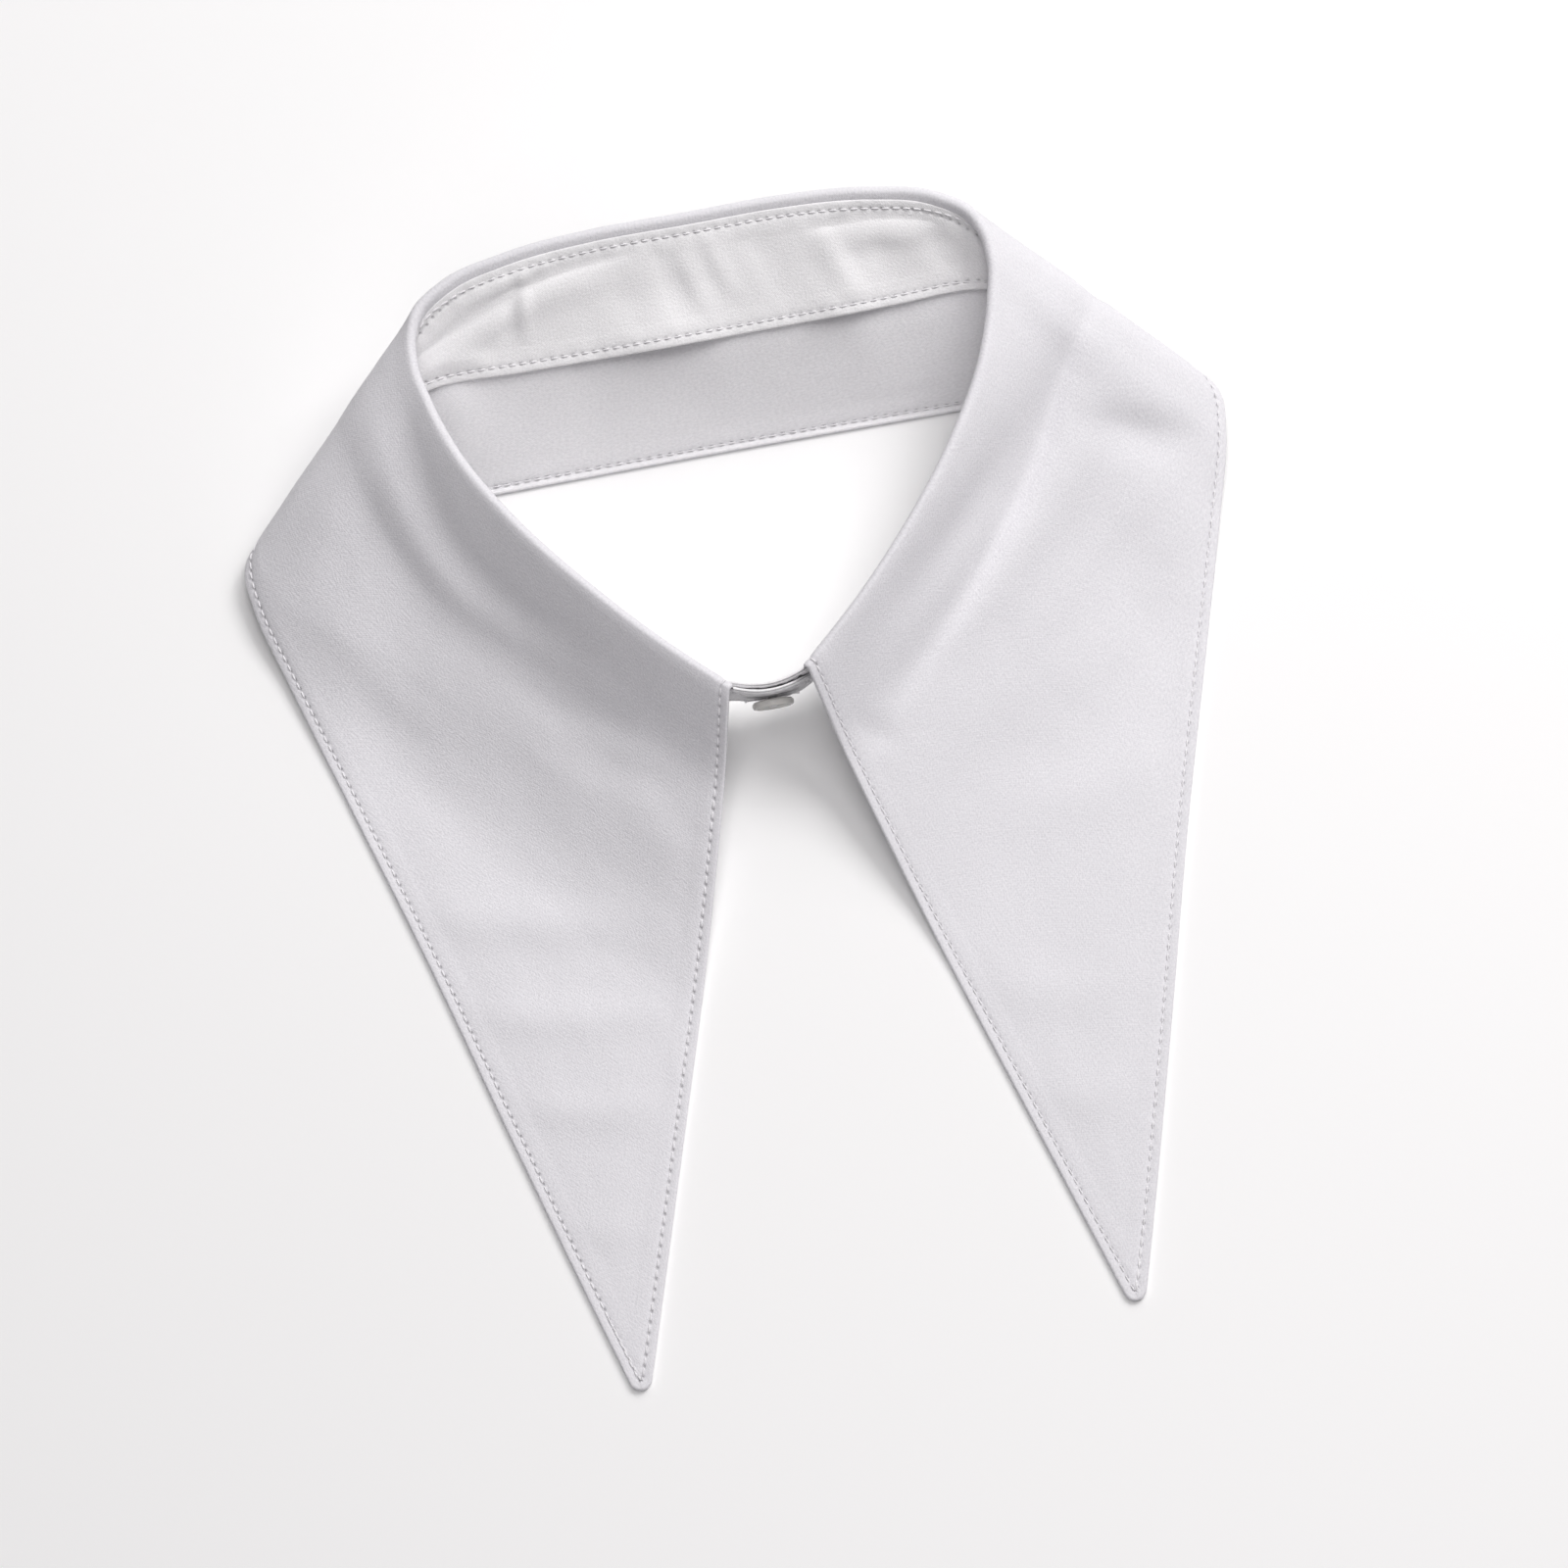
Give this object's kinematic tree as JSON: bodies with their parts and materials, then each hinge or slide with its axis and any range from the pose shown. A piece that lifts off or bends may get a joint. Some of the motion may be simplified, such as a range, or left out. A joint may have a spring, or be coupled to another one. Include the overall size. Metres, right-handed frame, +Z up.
{
  "type": "detachable shirt collar",
  "caption": "Detachable pointed shirt collar in white cotton, buttoned round an open neck, with long leaves spread flat.",
  "frame": {"origin": "centre of the footprint's bounding box, on the surface that the collar lies on", "axes": "+Z up, +Y towards the back of the neck, -Y towards the two points, X across the collar"},
  "size_m": [0.2184, 0.2486, 0.0341],
  "materials": {
    "upper_collar": "plain-weave cotton with a soft sheen",
    "under_collar": "plain-weave cotton with a soft sheen",
    "outer_stand": "plain-weave cotton with a soft sheen",
    "inner_stand": "plain-weave cotton with a soft sheen",
    "button": "polished off-white"
  },
  "bodies": {
    "root": {"upper_collar": "upper_collar", "under_collar": "under_collar", "outer_stand": "outer_stand", "inner_stand": "inner_stand", "button": "button"}
  },
  "joints": []
}
